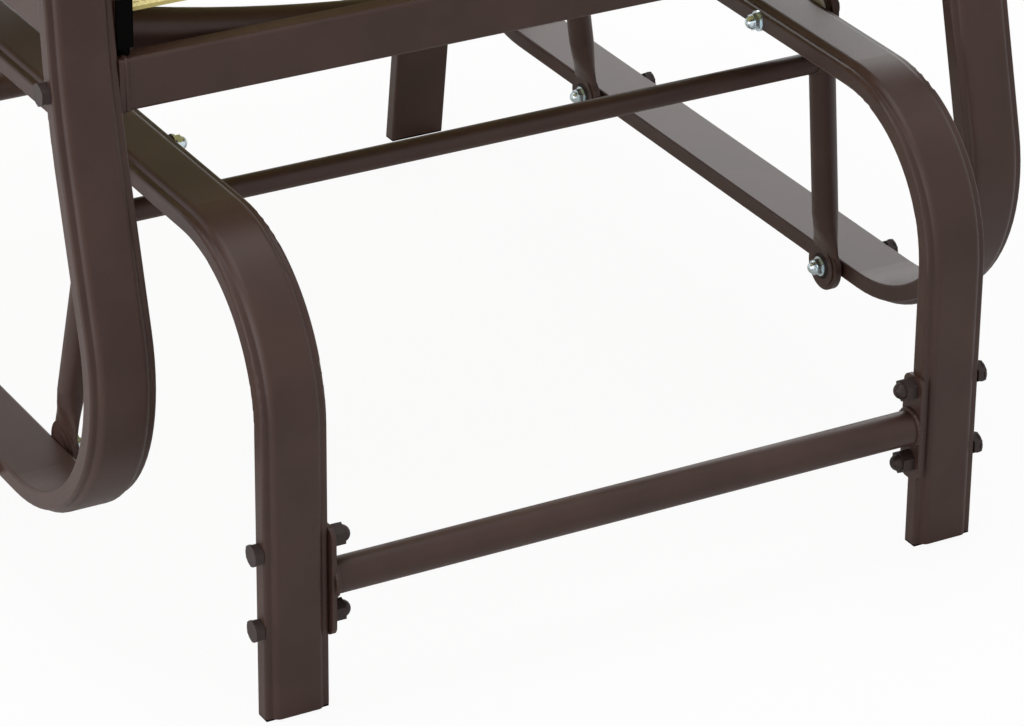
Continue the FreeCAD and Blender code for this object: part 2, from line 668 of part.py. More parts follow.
def swing_frame(name, has_crossbar):
    """Two links, drawn hanging straight down from the upper pivot, and the crossbar between them if any."""
    drop = f"({top_pivot_z} - {low_pivot_z})"
    step = f"(dims.{name}_low_pivot - dims.{name}_top_pivot)"
    length = f"sqrt({drop} ^ 2 + {step} ^ 2)"
    swing = f"atan({step} / {drop})"
    pivot_y = from_front(f"dims.{name}_top_pivot")
    flat = "dims.link_flat_length"
    slope = f"(({low_hub_middle} - {top_hub_middle}) / ({length} - 2 * {flat}))"
    round_radius = "(dims.link_diameter / 2)"

    def hang(item):
        place(item, y=pivot_y, z=top_pivot_z, turn=swing)
        return item

    def oval(part, across, along, x, z):
        item = doc.addObject("Part::Ellipse", f"{name}_{part}")
        item.Placement = FreeCAD.Placement(origin, FreeCAD.Rotation(FreeCAD.Vector(0, 0, 1), 90))
        bind(item, MajorRadius=across, MinorRadius=along)
        place(item, x, "0", z)
        return item

    neck, thin = "dims.link_neck_width / 2", "dims.link_plate_thickness / 2"

    def taper(end, x, z, way, reach):
        """Ovals from a flattened end to the round tube, eased at both; way is 1 down the link, -1 up it."""
        ovals = []
        for index in range(taper_steps):
            share = f"({index} / {taper_steps})"
            ease = f"((1 - cos(180 * {share})) / 2)"
            across = f"{neck} + ({round_radius} - {neck}) * {ease}"
            along = f"{thin} + ({round_radius} - {thin}) * {ease}"
            down = f"({way} * {reach} * {share})"
            ovals.append(oval(f"{end}_{index}", across, along, f"{x} + {slope} * {down}", f"{z} - {down}"))
        down = f"({way} * {reach})"
        round_x, round_z = f"{x} + {slope} * {down}", f"{z} - {down}"
        ovals.append(oval(f"{end}_round", round_radius, round_radius, round_x, round_z))
        return ovals

    top_ovals = taper("top", top_hub_middle, f"-{flat}", 1, "dims.link_top_taper")
    low_ovals = taper("low", low_hub_middle, f"({flat} - {length})", -1, "dims.link_low_taper")
    shaft = doc.addObject("Part::Loft", f"{name}_shaft")
    shaft.Sections = top_ovals + low_ovals[::-1]
    shaft.Solid = True
    shaft.Ruled = True

    # turn about Y that leans the tube's line inwards from its lower end to its upper one
    lean = f"(-atan({slope}))"

    def along_tube(part, radius):
        item = doc.addObject("Part::Cylinder", f"{name}_{part}")
        run = f"({length} - 2 * {flat} - dims.link_top_taper - dims.link_low_taper)"
        tilt = FreeCAD.Rotation(FreeCAD.Vector(0, 1, 0), number(lean))
        item.Placement = FreeCAD.Placement(origin, tilt)
        item.setExpression("Placement.Rotation.Angle", lean)
        bind(item, Radius=radius, Height=f"{run} / cos({lean})")
        low_x = f"{low_hub_middle} - {slope} * dims.link_low_taper"
        place(item, low_x, "0", f"{flat} + dims.link_low_taper - {length}")
        return item

    solids = [shaft]
    bores = [along_tube("hollow", f"{round_radius} - dims.link_wall")]
    bushes = []
    ends = [("top", top_hub_middle, "0"), ("low", low_hub_middle, f"-{length}")]
    plate = "dims.link_plate_thickness"
    for end, middle, z in ends:
        tag = f"{name}_{end}"
        plate_start = f"{middle} - {plate} / 2"
        hub_start = f"{middle} - {hub_thickness} / 2"
        solids.append(rod(f"{tag}_end", "dims.link_end_radius", plate_start, plate, "0", z))
        solids.append(rod(f"{tag}_hub", "dims.hub_diameter / 2", hub_start, hub_thickness, "0", z))
        bore_start, bore_length = f"{middle} - {hub_thickness}", f"{hub_thickness} * 2"
        bore_radius = "dims.bush_diameter / 2 + dims.bush_clearance"
        bores.append(rod(f"{tag}_bore", bore_radius, bore_start, bore_length, "0", z))
        opened = name == "rear" and end == "low"
        play = "dims.open_pivot_clearance" if opened else "dims.pivot_clearance"
        ring = rod(f"{tag}_bush_ring", "dims.bush_diameter / 2", hub_start, hub_thickness, "0", z)
        eye = rod(f"{tag}_bush_eye", f"{bolt_radius} + {play}", bore_start, bore_length, "0", z)
        bushes.append(hang(cut(ring, eye, f"{tag}_bush")))
    link = cut(fuse(solids, f"{name}_link_blank"), compound(bores, f"{name}_link_bores"), f"{name}_link")
    pair(hang(link), f"{name}_link")
    group(bushes, f"{name}_link_bushes")
    if not has_crossbar:
        return

    # the crossbar is coped to the links
    reach = f"({top_hub_middle} + {slope} * (dims.crossbar_drop - {flat}))"
    drop_z = "-dims.crossbar_drop"
    bar = rod(f"{name}_bar", "dims.crossbar_diameter / 2", f"-{reach}", f"2 * {reach}", "0", drop_z)
    hollow_radius = "dims.crossbar_diameter / 2 - dims.crossbar_wall"
    hollow = rod(f"{name}_bar_hollow", hollow_radius, f"-{reach}", f"2 * {reach}", "0", drop_z)
    cope = along_tube("cope", f"{round_radius} + dims.weld_gap")
    tools = compound([hollow, cope, mirrored(cope)], f"{name}_bar_cuts")
    node(hang(cut(bar, tools, f"{name}_bar_coped")), f"{name}_crossbar")


def pivot_fasteners():
    bolts, nuts, caps, washers = [], [], [], []
    for pivot in top_pivots:
        y, z, tag = pivot["y"], pivot["z"], pivot["name"] + "_top"
        bolts.append(bolt(f"{tag}_bolt", acorn_tip(base_inner_x), top_head_face, y, z))
        nuts.append(acorn_nut(f"{tag}_nut", base_inner_x, y, z))
        caps.append(head_cap(f"{tag}_cap", top_head_face, y, z))
        radius, thickness = "dims.bearing_washer_diameter / 2", "dims.bearing_washer_thickness"
        ring = rod(f"{tag}_washer_ring", radius, base_outer_x, thickness, y, z)
        eye_start, eye_length = eye_span(base_outer_x, thickness)
        eye = rod(f"{tag}_washer_eye", hole_radius, eye_start, eye_length, y, z)
        washers.append(cut(ring, eye, f"{tag}_washer"))
    group(bolts, "upper_pivot_bolts")
    group(nuts, "upper_pivot_nuts")
    group(caps, "upper_pivot_caps")
    group(washers, "upper_pivot_washers")

    bolts, nuts, caps, bosses = [], [], [], []
    for pivot in low_pivots:
        y, z, tag = pivot["y"], pivot["z"], pivot["name"] + "_low"
        bolts.append(bolt(f"{tag}_bolt", acorn_tip(low_nut_face), loop_outer_x, y, z))
        nuts.append(acorn_nut(f"{tag}_nut", low_nut_face, y, z))
        caps.append(head_cap(f"{tag}_cap", loop_outer_x, y, z))
        boss_start = f"({loop_inner_x} - dims.boss_thickness)"
        ring = rod(f"{tag}_boss_ring", "dims.boss_diameter / 2", boss_start, "dims.boss_thickness", y, z)
        eye_start, eye_length = eye_span(boss_start, "dims.boss_thickness")
        eye = rod(f"{tag}_boss_eye", hole_radius, eye_start, eye_length, y, z)
        bosses.append(cut(ring, eye, f"{tag}_boss"))
    group(bolts, "lower_pivot_bolts")
    group(nuts, "lower_pivot_nuts")
    group(caps, "lower_pivot_caps")
    group(bosses, "lower_pivot_bosses")


# Seat loops: each is one closed ring of ribbed tube, with a slight knee in its front upright

rail_bolt_z = "(dims.cross_rail_height + dims.cross_rail_bolt_lift)"
cross_rails = [
    {"label": "front_cross_rail", "y": loop_side_y(rail_bolt_z, -1)},
    {"label": "rear_cross_rail", "y": loop_side_y(rail_bolt_z, 1)},
]

# corner of the track's middle line between seat and back, and the line of the back bolts
track_corner_y = f"({track_front_y} + dims.seat_depth)"
track_corner_z = f"({track_height} - dims.seat_drop)"
bolt_line_y = f"({track_corner_y} + dims.back_bolt_offset * cos(dims.back_lean))"
bolt_line_z = f"({track_corner_z} - dims.back_bolt_offset * sin(dims.back_lean))"
slopes = "(tan(dims.back_lean) + tan(dims.loop_lean))"
back_bolt_z = (
    f"({bolt_line_z} + ({loop_side_y(bolt_line_z, 1)} - {bolt_line_y}) / {slopes})"
)
back_bolt_y = f"({bolt_line_y} + ({back_bolt_z} - {bolt_line_z}) * tan(dims.back_lean))"


def seat_loop():
    """The ring is swept in two halves that meet at the middle of the seat rail and of the arm."""
    body = new_body("seat_loop")
    low, knee, high = "dims.loop_height", "dims.knee_height", "dims.arm_height"
    foot, bend, arm_bend = "dims.loop_length / 2", "dims.loop_bend_radius", "dims.arm_bend_radius"
    at_knee = (f"-{upright_inside(knee)}", knee)
    front = [("0", low), (f"-{foot}", low), at_knee, (f"-{knee_inside(high)}", high), ("0", high)]
    rear = [("0", low), (foot, low), (upright_inside(high), high), ("0", high)]
    halves = [
        ("front", front, [None, bend, "dims.knee_radius", arm_bend, None]),
        ("rear", rear, [None, bend, arm_bend, None]),
    ]
    for name, corners, radii in halves:
        section = sketch_on(body, f"seat_loop_{name}_section", "XZ_Plane")
        ribbed_section(section, loop_middle_x, low)
        path = sketch_on(body, f"seat_loop_{name}_path", "YZ_Plane", loop_middle_x)
        draw(path, corners, radii, closed=False)
        sweep(body, f"seat_loop_{name}", section, path)
        doc.recompute()
    place(body, y=loop_middle_y)

    holes = [(pivot["y"], pivot["z"]) for pivot in low_pivots]
    holes += [(rail["y"], rail_bolt_z) for rail in cross_rails]
    holes.append((back_bolt_y, back_bolt_z))
    tools = []
    start, length = eye_span(loop_inner_x, "dims.tube_width")
    for index, (y, z) in enumerate(holes):
        tools.append(rod(f"seat_loop_hole_{index}", hole_radius, start, length, y, z))
    return cut(body, compound(tools, "seat_loop_holes"), "seat_loop_drilled")


def seat_bearer():
    """A level tube inside the loop, mitred against the leaning uprights."""
    body = new_body("seat_bearer")
    bottom, top = "dims.bearer_height", "(dims.bearer_height + dims.bearer_tall)"
    side = sketch_on(body, "seat_bearer_side", "YZ_Plane", loop_middle_x)
    corners = [
        (f"-{knee_inside(bottom)}", bottom),
        (upright_inside(bottom), bottom),
        (upright_inside(top), top),
        (f"-{knee_inside(top)}", top),
    ]
    draw(side, corners, [None] * len(corners))
    pad(body, "seat_bearer_bar", side, "dims.bearer_width", midplane=True)
    bore = sketch_on(body, "seat_bearer_bore", "YZ_Plane", loop_middle_x)
    reach = "dims.loop_length / 2"
    low, high = f"{bottom} + dims.bearer_wall", f"{top} - dims.bearer_wall"
    draw_rectangle(bore, f"-{reach}", reach, low, high)
    pocket = body.newObject("PartDesign::Pocket", "seat_bearer_hollow")
    pocket.Profile = bore
    pocket.Midplane = True
    bind(pocket, Length="dims.bearer_width - 2 * dims.bearer_wall")
    place(body, y=loop_middle_y)
    return body


def cross_rail(label, y):
    """A flat tube with an end plate on each end, bolted between the uprights."""
    body = new_body(label + "_welded")
    tube_end = f"({loop_inner_x} - dims.end_plate_thickness)"
    half_deep, half_tall = "dims.cross_rail_deep / 2", "dims.cross_rail_tall / 2"
    section = sketch_on(body, label + "_section", "YZ_Plane")
    draw_rectangle(
        section, f"-{half_deep}", half_deep, f"-{half_tall}", half_tall, "dims.cross_rail_radius"
    )
    wall = "dims.cross_rail_wall"
    draw_rectangle(
        section,
        f"-({half_deep} - {wall})",
        f"{half_deep} - {wall}",
        f"-({half_tall} - {wall})",
        f"{half_tall} - {wall}",
    )
    pad(body, label + "_tube", section, f"2 * {tube_end}", midplane=True)
    plate = sketch_on(body, label + "_plate", "YZ_Plane", tube_end)
    plate_deep, plate_tall = "dims.end_plate_deep / 2", "dims.end_plate_tall / 2"
    draw_rectangle(
        plate, f"-{plate_deep}", plate_deep, f"-{plate_tall}", f"{half_tall}", "dims.end_plate_radius"
    )
    draw_circle(plate, "0", "dims.cross_rail_bolt_lift", hole_radius)
    plate_pad = pad(body, label + "_plate_pad", plate, "dims.end_plate_thickness")
    doc.recompute()
    mirror_feature(body, label + "_plates", plate_pad, "YZ_Plane")
    place(body, y=y, z="dims.cross_rail_height")
    return body


def cross_rail_fasteners():
    nut_face = f"({loop_inner_x} - dims.end_plate_thickness)"
    tip = f"({nut_face} - dims.weld_nut_height)"
    bolts, nuts, caps = [], [], []
    for rail in cross_rails:
        tag = rail["label"]
        bolts.append(bolt(f"{tag}_bolt", tip, loop_outer_x, rail["y"], rail_bolt_z))
        nuts.append(plain_nut(f"{tag}_nut", nut_face, "dims.weld_nut_height", rail["y"], rail_bolt_z))
        caps.append(head_cap(f"{tag}_cap", loop_outer_x, rail["y"], rail_bolt_z))
    group(bolts, "cross_rail_bolts")
    group(nuts, "cross_rail_nuts")
    group(caps, "cross_rail_caps")


# Sling tracks: open channels that follow the line of seat and back


def seat_line(sketch, inset):
    """Middle line of a track from its front end to its top, shortened at both ends by an inset."""
    back = f"(dims.back_length - {inset})"
    corners = [
        ("0", track_height),
        (f"dims.level_length - {inset}", track_height),
        (f"dims.seat_depth - {inset}", track_corner_z),
        (
            f"dims.seat_depth - {inset} + {back} * sin(dims.back_lean)",
            f"{track_corner_z} + {back} * cos(dims.back_lean)",
        ),
    ]
    draw(sketch, corners, [None, "dims.seat_bend_radius", "dims.back_bend_radius", None], closed=False)


def swept_along_seat(name, inset, draw_section):
    body = new_body(name)
    section = sketch_on(body, name + "_section", "XZ_Plane")
    draw_section(section)
    path = sketch_on(body, name + "_path", "YZ_Plane")
    seat_line(path, inset)
    sweep(body, name + "_sweep", section, path)
    place(body, y=f"{track_front_y} + {inset}")
    return body


def track_section(sketch):
    """A channel with a slot in the side that faces the sling."""
    wall, slot = "dims.track_wall", "dims.slot_width / 2"
    low, high = f"{track_height} - dims.track_tall / 2", f"{track_height} + dims.track_tall / 2"
    slot_low = f"{track_height} + dims.slot_offset - {slot}"
    slot_high = f"{track_height} + dims.slot_offset + {slot}"
    lip = f"{track_inner_x} + {wall}"
    far = f"{track_outer_x} - {wall}"
    corners = [
        (track_inner_x, slot_low),
        (track_inner_x, low),
        (track_outer_x, low),
        (track_outer_x, high),
        (track_inner_x, high),
        (track_inner_x, slot_high),
        (lip, slot_high),
        (lip, f"{high} - {wall}"),
        (far, f"{high} - {wall}"),
        (far, f"{low} + {wall}"),
        (lip, f"{low} + {wall}"),
        (lip, slot_low),
    ]
    radius = "dims.track_radius"
    draw(sketch, corners, [None, radius, radius, radius, radius] + [None] * 7)


def sling_track():
    body = swept_along_seat("sling_track", "0", track_section)
    start, length = eye_span(track_inner_x, "dims.track_width")
    back_hole = rod("track_back_hole", hole_radius, start, length, back_bolt_y, back_bolt_z)
    return cut(body, compound([back_hole, rivet_hole("track_rivet_hole")], "track_holes"), "track_drilled")


# line of the rivet that holds a track on the front cross rail, beside the rail's end plate
rivet_x = f"({track_inner_x} + dims.track_wall + dims.rivet_head_diameter / 2 + dims.plug_clearance)"
rivet_y = f"({cross_rails[0]['y']} + dims.rivet_setback)"
rivet_hole_radius = "(dims.rivet_diameter / 2 + dims.hole_clearance)"
track_floor = f"({rail_top} + dims.track_lift + dims.track_wall)"
rail_ceiling = f"({rail_top} - dims.cross_rail_wall)"


def post(name, radius, bottom, height):
    """An upright round bar on the rivet's line."""
    item = doc.addObject("Part::Cylinder", name)
    bind(item, Radius=radius, Height=height)
    place(item, rivet_x, rivet_y, bottom)
    return item


def rivet_hole(name):
    """A hole through the track's floor and the rail's upper wall."""
    bottom, height = eye_span(rail_ceiling, f"({track_floor} - {rail_ceiling})")
    return post(name, rivet_hole_radius, bottom, height)


def track_rivets():
    """Each rivet has a flat head in the track and a set end inside the rail, with a spacer between them."""
    tail = "dims.rivet_tail_length"
    shank_start = f"({rail_ceiling} - {tail} / 2)"
    shank_length = f"{track_floor} - {shank_start} + dims.rivet_head_height / 2"
    rivet = [
        post("track_rivet_shank", "dims.rivet_diameter / 2", shank_start, shank_length),
        post("track_rivet_head", "dims.rivet_head_diameter / 2", track_floor, "dims.rivet_head_height"),
        post("track_rivet_tail", "dims.rivet_tail_diameter / 2", f"{rail_ceiling} - {tail}", tail),
    ]
    group([fuse(rivet, "track_rivet")], "track_rivets")

    ring = post("track_spacer_ring", "dims.spacer_diameter / 2", rail_top, "dims.track_lift")
    eye = post("track_spacer_eye", rivet_hole_radius, *eye_span(rail_top, "dims.track_lift"))
    group([cut(ring, eye, "track_spacer")], "track_spacers")


def back_fasteners():
    tip = acorn_tip(track_inner_x)
    group([bolt("back_bolt", tip, loop_outer_x, back_bolt_y, back_bolt_z)], "back_bolts")
    group([acorn_nut("back_nut", track_inner_x, back_bolt_y, back_bolt_z)], "back_nuts")
    group([head_cap("back_cap", loop_outer_x, back_bolt_y, back_bolt_z)], "back_caps")
    radius = "dims.nut_flange_diameter / 2"
    ring = rod("back_spacer_ring", radius, track_outer_x, "dims.track_gap", back_bolt_y, back_bolt_z)
    eye_start, eye_length = eye_span(track_outer_x, "dims.track_gap")
    eye = rod("back_spacer_eye", hole_radius, eye_start, eye_length, back_bolt_y, back_bolt_z)
    group([cut(ring, eye, "back_spacer")], "back_spacers")


def track_end_caps():
    """Moulded ends of the tracks; each has a stub below the sling's slot."""
    cap, depth, gap = "dims.end_cap_thickness", "dims.plug_depth", "dims.plug_clearance"
    stub_x = f"{track_inner_x} + dims.track_wall + {gap}"
    stub_width = f"dims.track_width - 2 * dims.track_wall - 2 * {gap}"
    # the stub clears the rivet's head on the track's floor
    stub_tall = f"(dims.track_tall / 2 - dims.track_wall - dims.rivet_head_height - {gap})"
    half_tall = "(dims.track_tall / 2)"

    front_corner = (track_inner_x, f"{track_front_y} - {cap}", f"{track_height} - {half_tall}")
    front = block("front_end_plate", ("dims.track_width", cap, "dims.track_tall"), front_corner)
    stub_size = (stub_width, f"{cap} / 2 + {depth}", stub_tall)
    stub_corner = (stub_x, f"{track_front_y} - {cap} / 2", f"{track_height} - {stub_tall}")
    front_stub = block("front_end_stub", stub_size, stub_corner)
    front_cap = fuse([front, front_stub], "front_end_cap")

    # at the top the cap is turned with the back, its stub behind the sling
    sine, cosine = "sin(dims.back_lean)", "cos(dims.back_lean)"
    top_y = f"({track_corner_y} + dims.back_length * {sine})"
    top_z = f"({track_corner_z} + dims.back_length * {cosine})"

    def turned(name, size, across, along):
        y = f"{top_y} + ({across}) * {cosine} + ({along}) * {sine}"
        z = f"{top_z} - ({across}) * {sine} + ({along}) * {cosine}"
        x = track_inner_x if name.endswith("plate") else stub_x
        return block(name, size, (x, y, z), "-dims.back_lean")

    top_plate = turned("top_end_plate", ("dims.track_width", "dims.track_tall", cap), f"-{half_tall}", "0")
    top_stub = turned("top_end_stub", (stub_width, stub_tall, f"{depth} + {cap} / 2"), "0", f"-{depth}")
    group([front_cap, fuse([top_plate, top_stub], "top_end_cap")], "track_end_caps")


# Sling: one stretched sheet from the front edge to the top of the back


def sling():
    half_width = f"({track_inner_x} + dims.sling_grip)"
    middle = f"({track_height} + dims.slot_offset)"
    half = "dims.sling_thickness / 2"

    def section(sketch):
        draw_rectangle(sketch, f"-{half_width}", half_width, f"{middle} - {half}", f"{middle} + {half}")

    return node(swept_along_seat("sling", "dims.sling_inset", section), "sling")


def sling_rods():
    x = f"({track_inner_x} + dims.sling_grip + dims.rod_gap + dims.rod_diameter / 2)"

    def section(sketch):
        draw_circle(sketch, x, f"{track_height} + dims.slot_offset", "dims.rod_diameter / 2")

    pair(swept_along_seat("sling_rod", "dims.sling_inset", section), "sling_rod")


def spreader(label, y, z, sag, turn):
    """A tube between the tracks, bowed away from the sling: downwards, or as the turn says."""
    half = track_inner_x
    bow = f"(({half} ^ 2 + {sag} ^ 2) / (2 * {sag}))"
    tube = "(dims.spreader_diameter / 2)"

    def ring(name, radius):
        item = doc.addObject("Part::Torus", name)
        item.Placement = FreeCAD.Placement(origin, FreeCAD.Rotation(about_x, 90))
        bind(item, Radius1=bow, Radius2=radius)
        place(item, z=f"{bow} - {sag}")
        return item

    outer = ring(label + "_outer", tube)
    inner = ring(label + "_inner", f"{tube} - dims.spreader_wall")
    frame_size = (f"2 * {half}", f"4 * {tube}", f"{sag} + 6 * {tube}")
    frame = block(label + "_frame", frame_size, (f"-{half}", f"-2 * {tube}", f"-{sag} - 3 * {tube}"))
    item = doc.addObject("Part::Common", label)
    item.Base = cut(outer, inner, label + "_tube")
    item.Tool = frame
    place(item, y=y, z=z, turn=turn)
    return node(item, label)


def spreaders():
    drop = "dims.spreader_drop"
    front_y = f"{track_front_y} + dims.front_spreader_setback"
    spreader("front_spreader", front_y, f"{track_height} - {drop}", "dims.front_spreader_sag", None)

    fall = "(dims.seat_drop / (dims.seat_depth - dims.level_length))"
    rear_z = f"{track_height} - (dims.rear_spreader_setback - dims.level_length) * {fall} - {drop}"
    rear_y = f"{track_front_y} + dims.rear_spreader_setback"
    spreader("rear_spreader", rear_y, rear_z, "dims.rear_spreader_sag", None)

    sine, cosine = "sin(dims.back_lean)", "cos(dims.back_lean)"
    back_y = f"{track_corner_y} + dims.back_spreader_rise * {sine} + {drop} * {cosine}"
    back_z = f"{track_corner_z} + dims.back_spreader_rise * {cosine} - {drop} * {sine}"
    spreader("back_spreader", back_y, back_z, "dims.back_spreader_sag", "90 - dims.back_lean")

    reach, bar_drop = "(dims.back_length - dims.top_bar_inset)", "dims.top_bar_drop"
    top_y = f"{track_corner_y} + {reach} * {sine} + {bar_drop} * {cosine}"
    top_z = f"{track_corner_z} + {reach} * {cosine} - {bar_drop} * {sine}"
    length = f"2 * {track_inner_x}"
    bar = rod("top_bar_outer", "dims.top_bar_diameter / 2", f"-{track_inner_x}", length, top_y, top_z)
    hollow_radius = "dims.top_bar_diameter / 2 - dims.spreader_wall"
    hollow_start, hollow_length = eye_span(f"-{track_inner_x}", length)
    hollow = rod("top_bar_inner", hollow_radius, hollow_start, hollow_length, top_y, top_z)
    node(cut(bar, hollow, "top_bar_tube"), "top_bar")


# Build every piece, base first

pair(base_side(), "base_side")
stretcher("front_stretcher", front_leg_y, "dims.stretcher_height", None)
stretcher("rear_stretcher", rear_leg_y, "dims.rear_stretcher_height", "dims.rear_lean")
foot_plugs()
stretcher_fasteners()
pivot_fasteners()
swing_frame("front", has_crossbar=True)
swing_frame("rear", has_crossbar=False)

pair(seat_loop(), "seat_loop")
pair(seat_bearer(), "seat_bearer")
front_rail = cross_rail(cross_rails[0]["label"], cross_rails[0]["y"])
front_holes = [rivet_hole("rail_rivet_hole")]
front_holes.append(mirrored(front_holes[0]))
node(cut(front_rail, compound(front_holes, "rail_rivet_holes"), "front_rail_drilled"), "front_cross_rail")
node(cross_rail(cross_rails[1]["label"], cross_rails[1]["y"]), "rear_cross_rail")
cross_rail_fasteners()

pair(sling_track(), "sling_track")
track_rivets()
track_end_caps()
back_fasteners()
sling()
sling_rods()
spreaders()

doc.recompute()

# Nothing is written unless every object and every piece is sound

for item in doc.Objects:
    if "Invalid" in item.State or "Error" in item.State:
        raise RuntimeError(f"{item.Name} failed: {item.State}")
for item in nodes:
    if item.Shape.isNull() or not item.Shape.isValid() or not item.Shape.Solids:
        raise RuntimeError(f"{item.Label} has no sound shape")

os.makedirs("parts", exist_ok=True)
for item in nodes:
    item.Shape.exportStep(f"parts/{item.Label}.step")
print(f"{len(nodes)} pieces written")
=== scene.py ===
import json
import math

import bpy
from mathutils import Matrix, Vector
from mathutils.geometry import convex_hull_2d


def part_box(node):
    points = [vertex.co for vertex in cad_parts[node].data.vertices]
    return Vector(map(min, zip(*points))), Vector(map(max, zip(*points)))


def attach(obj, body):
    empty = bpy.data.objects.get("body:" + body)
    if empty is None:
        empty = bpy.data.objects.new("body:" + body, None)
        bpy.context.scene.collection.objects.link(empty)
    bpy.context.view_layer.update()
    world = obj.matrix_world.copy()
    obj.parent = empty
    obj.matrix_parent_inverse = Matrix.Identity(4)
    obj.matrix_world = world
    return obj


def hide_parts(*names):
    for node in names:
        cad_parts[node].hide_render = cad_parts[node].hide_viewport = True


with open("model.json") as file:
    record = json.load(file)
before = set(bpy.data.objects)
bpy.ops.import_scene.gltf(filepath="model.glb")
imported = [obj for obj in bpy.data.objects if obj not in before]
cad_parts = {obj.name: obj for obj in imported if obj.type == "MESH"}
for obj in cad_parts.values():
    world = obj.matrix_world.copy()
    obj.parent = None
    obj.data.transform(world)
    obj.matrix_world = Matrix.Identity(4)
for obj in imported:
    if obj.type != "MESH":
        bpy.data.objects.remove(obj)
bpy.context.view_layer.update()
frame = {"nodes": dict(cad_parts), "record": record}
nodes = frame["nodes"]
print("frame loaded:", len(nodes), "nodes")


# small helpers for materials; each hands on the output that the next one takes

noiseBand = (0.3, 0.7)    # where most of a noise's values lie
toneBand = (0.35, 0.65)    # where a ramp goes from its dark to its light colour
fullBand = (0.0, 1.0)
mixSockets = {"share": 0, "first": 6, "second": 7, "result": 2}    # of a Mix node that mixes colours


def feed(tree, socket, value):
    # the value is another node's output, a colour or a number
    if isinstance(value, bpy.types.NodeSocket):
        tree.links.new(value, socket)
    elif socket.type == "RGBA":
        socket.default_value = (*value, 1)
    else:
        socket.default_value = value


def addNode(tree, kind, values=None, **settings):
    node = tree.nodes.new(kind)
    for key, value in settings.items():
        setattr(node, key, value)
    for key, value in (values or {}).items():
        feed(tree, node.inputs[key], value)
    return node


def startMaterial(name):
    mat = bpy.data.materials.new(name)
    mat.use_nodes = True
    tree = mat.node_tree
    return mat, tree, tree.nodes["Principled BSDF"]


def fillShader(tree, shader, values):
    for key, value in values.items():
        feed(tree, shader.inputs[key], value)


def objectNoise(tree, scale, detail=2.0):
    coords = addNode(tree, "ShaderNodeTexCoord")
    noise = addNode(tree, "ShaderNodeTexNoise",
                    {"Vector": coords.outputs["Object"], "Scale": scale, "Detail": detail})
    return noise.outputs["Fac"]


def spread(tree, source, low, high, band=noiseBand):
    ranged = addNode(tree, "ShaderNodeMapRange", {"Value": source, "From Min": band[0], "From Max": band[1],
                                                  "To Min": low, "To Max": high})
    return ranged.outputs["Result"]


def twoTone(tree, source, dark, light):
    ramp = addNode(tree, "ShaderNodeValToRGB", {"Fac": source})
    for stop, place, colour in zip(ramp.color_ramp.elements, toneBand, (dark, light)):
        stop.position = place
        stop.color = (*colour, 1)
    return ramp.outputs["Color"]


def mixColours(tree, share, first, second, blend="MIX"):
    mix = addNode(tree, "ShaderNodeMix", data_type="RGBA", blend_type=blend)
    feed(tree, mix.inputs[mixSockets["share"]], share)
    feed(tree, mix.inputs[mixSockets["first"]], first)
    feed(tree, mix.inputs[mixSockets["second"]], second)
    return mix.outputs[mixSockets["result"]]


def bumpFrom(tree, height, strength, depth):
    bump = addNode(tree, "ShaderNodeBump", {"Height": height, "Strength": strength, "Distance": depth})
    return bump.outputs["Normal"]


def reckon(tree, operation, *values):
    node = addNode(tree, "ShaderNodeMath", operation=operation)
    for socket, value in zip(node.inputs, values):
        feed(tree, socket, value)
    return node.outputs[0]


# dark brown satin powder coat: a fine orange peel, faint clouding and small flecks
powderCoat = {
    "dark": (0.0440, 0.0215, 0.0160),
    "light": (0.0550, 0.0275, 0.0210),
    "cloudScale": 22.0,
    "cloudDetail": 3.0,
    "fleck": (0.088, 0.053, 0.043),
    "fleckScale": 2600.0,
    "fleckDetail": 1.0,
    "fleckShare": 0.55,
    "fleckBand": (0.66, 0.74),
    "peelScale": 1500.0,
    "rough": (0.36, 0.47),
    "bump": 0.10,
    "depth": 0.00012,
    "shine": 0.30,
}


def makePowderCoat():
    look = powderCoat
    mat, tree, shader = startMaterial("brownPowderCoat")
    cloud = objectNoise(tree, look["cloudScale"], look["cloudDetail"])
    fleck = objectNoise(tree, look["fleckScale"], look["fleckDetail"])
    peel = objectNoise(tree, look["peelScale"])
    base = twoTone(tree, cloud, look["dark"], look["light"])
    fleckShare = spread(tree, fleck, 0.0, look["fleckShare"], look["fleckBand"])
    fillShader(tree, shader, {
        "Base Color": mixColours(tree, fleckShare, base, look["fleck"]),
        "Roughness": spread(tree, peel, *look["rough"]),
        "Normal": bumpFrom(tree, peel, look["bump"], look["depth"]),
        "Specular IOR Level": look["shine"],
    })
    return mat


# bright zinc plate on the bolts, nuts, rivets and back spacers
zincPlate = {
    "dark": (0.595, 0.69, 0.735),
    "light": (0.74, 0.85, 0.89),
    "grainScale": 1500.0,
    "grainDetail": 3.0,
    "rough": (0.17, 0.27),
    "bump": 0.04,
    "depth": 0.0001,
}


def makeZinc():
    look = zincPlate
    mat, tree, shader = startMaterial("brightZinc")
    grain = objectNoise(tree, look["grainScale"], look["grainDetail"])
    fillShader(tree, shader, {
        "Base Color": twoTone(tree, grain, look["dark"], look["light"]),
        "Roughness": spread(tree, grain, *look["rough"]),
        "Normal": bumpFrom(tree, grain, look["bump"], look["depth"]),
        "Metallic": 1.0,
    })
    return mat


